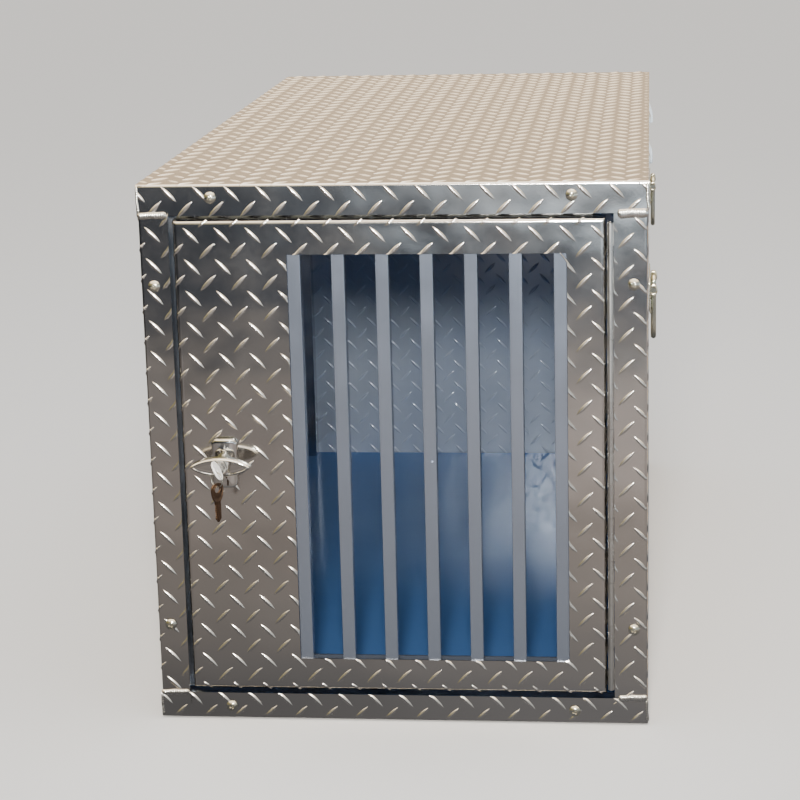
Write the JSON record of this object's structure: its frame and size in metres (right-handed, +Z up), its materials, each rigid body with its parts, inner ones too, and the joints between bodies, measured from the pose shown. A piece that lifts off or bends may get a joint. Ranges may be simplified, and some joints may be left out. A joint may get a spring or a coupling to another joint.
{
  "type": "truck dog box",
  "caption": "Aluminium diamond-plate dog box for a truck bed: a folded-sheet cabin with a barred, key-locking front door on a full-length hinge and drop handles on the sides.",
  "frame": {"origin": "middle of the flat underside of the body, where it stands on the truck bed", "axes": "+Z up, -Y out of the barred front door, +X to the right of someone who faces the door"},
  "size_m": [0.579, 1.182, 0.622],
  "materials": {
    "tread_plate": "bright rolled diamond plate",
    "floor_board": "smooth glossy blue",
    "frame_tube": "mill finish",
    "brushed_bar": "brushed along its length",
    "weld_bead": "as welded",
    "screw_zinc": "zinc plated",
    "hinge_aluminium": "mill finish",
    "chrome": "polished",
    "zinc_steel": "zinc plated",
    "lock_plug": "satin",
    "key_nickel": "nickel plated",
    "key_brass": "tarnished",
    "handle_cast": "zinc plated",
    "handle_rod": "bright plated"
  },
  "bodies": {
    "body": {"top_sheet": "tread_plate", "left_side_sheet": "tread_plate", "right_side_sheet": "tread_plate", "floor_sheet": "tread_plate", "rear_sheet": "tread_plate", "floor_board": "floor_board", "jamb_latch_side": "frame_tube", "jamb_hinge_side": "frame_tube", "head_tube": "frame_tube", "sill_tube": "frame_tube", "rear_post_left": "frame_tube", "rear_post_right": "frame_tube", "stop_latch_side": "frame_tube", "stop_top": "frame_tube", "screw_head_left": "screw_zinc", "screw_head_right": "screw_zinc", "screw_sill_left": "screw_zinc", "screw_sill_right": "screw_zinc", "screw_latch_upper": "screw_zinc", "screw_latch_lower": "screw_zinc", "screw_hinge_upper": "screw_zinc", "screw_hinge_lower": "screw_zinc", "weld_top_left": "weld_bead", "weld_top_right": "weld_bead", "weld_base_left": "weld_bead", "weld_base_right": "weld_bead", "handle_plate_front_left": "handle_cast", "handle_plate_front_right": "handle_cast", "handle_plate_rear_left": "handle_cast", "handle_plate_rear_right": "handle_cast", "hinge_leaf_frame": "hinge_aluminium", "hinge_pin": "zinc_steel"},
    "door": {"door_skin": "tread_plate", "window_bar_1": "brushed_bar", "window_bar_2": "brushed_bar", "window_bar_3": "brushed_bar", "window_bar_4": "brushed_bar", "window_bar_5": "brushed_bar", "window_bar_6": "brushed_bar", "window_bar_7": "brushed_bar", "bar_rail_top": "brushed_bar", "bar_rail_bottom": "brushed_bar", "hinge_leaf_door": "hinge_aluminium", "latch_base": "chrome", "latch_nut": "zinc_steel"},
    "handle": {"t_handle": "chrome", "latch_shaft": "zinc_steel", "latch_cam": "zinc_steel", "cam_screw": "zinc_steel"},
    "lock": {"lock_plug": "lock_plug"},
    "key": {"key": "key_nickel"},
    "ring": {"key_ring": "zinc_steel"},
    "spare": {"spare_key": "key_brass"},
    "bail_front_left": {"bail_front_left": "handle_rod"},
    "bail_front_right": {"bail_front_right": "handle_rod"},
    "bail_rear_left": {"bail_rear_left": "handle_rod"},
    "bail_rear_right": {"bail_rear_right": "handle_rod"}
  },
  "joints": [
    {"name": "door_swing", "type": "hinge", "parent": "body", "child": "door", "pos_m": [0.2382, -0.5579, 0.311], "axis": [0, 0, 1], "range_deg": [0, 165]},
    {"name": "handle_turn", "type": "hinge", "parent": "door", "child": "handle", "pos_m": [-0.1926, -0.559, 0.311], "axis": [0, -1, 0], "range_deg": [0, 90]},
    {"name": "lock_turn", "type": "hinge", "parent": "handle", "child": "lock", "pos_m": [-0.1926, -0.5968, 0.311], "axis": [0, -1, 0], "range_deg": [0, 90]},
    {"name": "key_draw", "type": "slide", "parent": "lock", "child": "key", "axis": [0, -1, 0], "range_m": [0, 0.012]},
    {"name": "ring_swing", "type": "hinge", "parent": "key", "child": "ring", "pos_m": [-0.1926, -0.6134, 0.311], "axis": [0.5736, 0.8192, 0], "range_deg": [-10, 10]},
    {"name": "spare_key_swing", "type": "hinge", "parent": "ring", "child": "spare", "pos_m": [-0.1926, -0.6134, 0.2936], "axis": [0.8192, -0.5736, 0], "range_deg": [-20, 20]},
    {"name": "bail_swing_front_left", "type": "hinge", "parent": "body", "child": "bail_front_left", "pos_m": [-0.2849, -0.386, 0.476], "axis": [0, 1, 0], "range_deg": [0, 170]},
    {"name": "bail_swing_front_right", "type": "hinge", "parent": "body", "child": "bail_front_right", "pos_m": [0.2849, -0.386, 0.476], "axis": [0, -1, 0], "range_deg": [0, 170]},
    {"name": "bail_swing_rear_left", "type": "hinge", "parent": "body", "child": "bail_rear_left", "pos_m": [-0.2849, 0.386, 0.476], "axis": [0, 1, 0], "range_deg": [0, 170]},
    {"name": "bail_swing_rear_right", "type": "hinge", "parent": "body", "child": "bail_rear_right", "pos_m": [0.2849, 0.386, 0.476], "axis": [0, -1, 0], "range_deg": [0, 170]}
  ]
}
